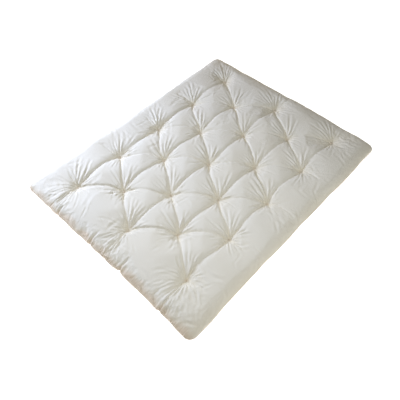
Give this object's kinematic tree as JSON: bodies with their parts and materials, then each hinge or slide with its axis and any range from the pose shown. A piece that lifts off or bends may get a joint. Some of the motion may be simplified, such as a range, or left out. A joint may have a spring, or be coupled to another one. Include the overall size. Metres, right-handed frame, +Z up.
{
  "type": "futon mattress",
  "caption": "Tufted futon mattress with a puffed cotton casing, layered cotton batts and staggered twine ties that draw it into pillows.",
  "frame": {"origin": "on the floor under the middle of the mattress", "axes": "+X along the length, with the hand-closed end at -X; +Y across the width; +Z up"},
  "size_m": [2, 1.6, 0.086],
  "materials": {
    "ticking": "matt unbleached cotton, plain weave",
    "batting": "loose cotton wadding",
    "twine": "twisted cotton twine"
  },
  "bodies": {
    "root": {"cover_top_panel": "ticking", "cover_bottom_panel": "ticking", "cotton_batt_1": "batting", "cotton_batt_2": "batting", "cotton_batt_3": "batting", "cotton_batt_4": "batting", "tuft_tie_a1": "twine", "tuft_tie_a2": "twine", "tuft_tie_a3": "twine", "tuft_tie_a4": "twine", "tuft_tie_a5": "twine", "tuft_tie_b1": "twine", "tuft_tie_b2": "twine", "tuft_tie_b3": "twine", "tuft_tie_b4": "twine", "tuft_tie_c1": "twine", "tuft_tie_c2": "twine", "tuft_tie_c3": "twine", "tuft_tie_c4": "twine", "tuft_tie_c5": "twine", "tuft_tie_d1": "twine", "tuft_tie_d2": "twine", "tuft_tie_d3": "twine", "tuft_tie_d4": "twine", "tuft_tie_e1": "twine", "tuft_tie_e2": "twine", "tuft_tie_e3": "twine", "tuft_tie_e4": "twine", "tuft_tie_e5": "twine"}
  },
  "joints": []
}
